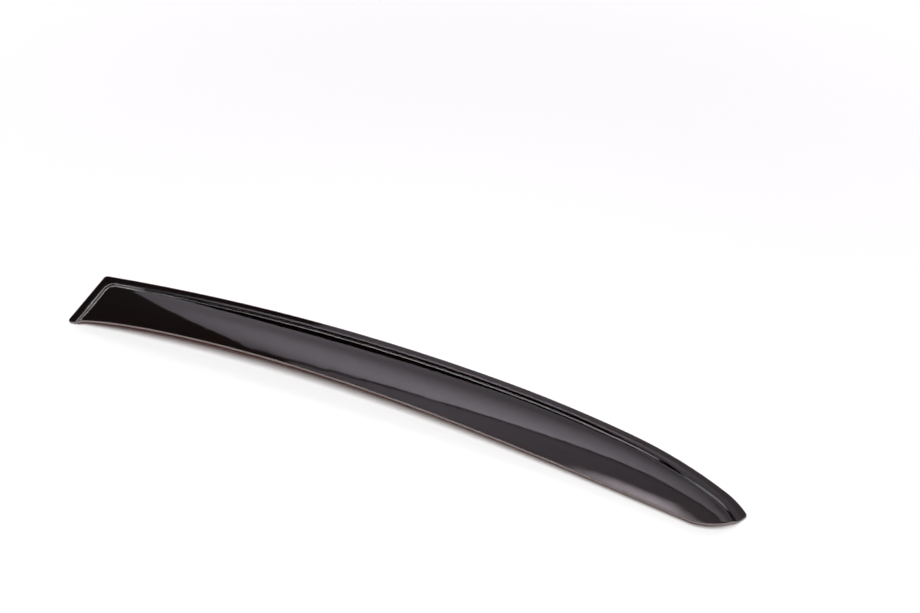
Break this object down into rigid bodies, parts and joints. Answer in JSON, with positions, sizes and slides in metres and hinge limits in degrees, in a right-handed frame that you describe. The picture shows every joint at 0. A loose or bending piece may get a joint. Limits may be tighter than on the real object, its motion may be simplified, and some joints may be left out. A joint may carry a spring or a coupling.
{
  "type": "window rain deflector",
  "caption": "Smoked acrylic rain deflector for a car's side window: a bowed visor face on a stepped stick-on flange that turns round its square end and runs out to a point.",
  "frame": {"origin": "on the back of the flange, at the crown of its long run and half way across its flat", "axes": "+X along the flange to the pointed end, +Y to the flange's outer edge, +Z out from the window"},
  "size_m": [0.749, 0.1179, 0.0251],
  "materials": {
    "smoked_acrylic": "polished, dark smoke tint"
  },
  "bodies": {
    "root": {"deflector_shell": "smoked_acrylic"}
  },
  "joints": []
}
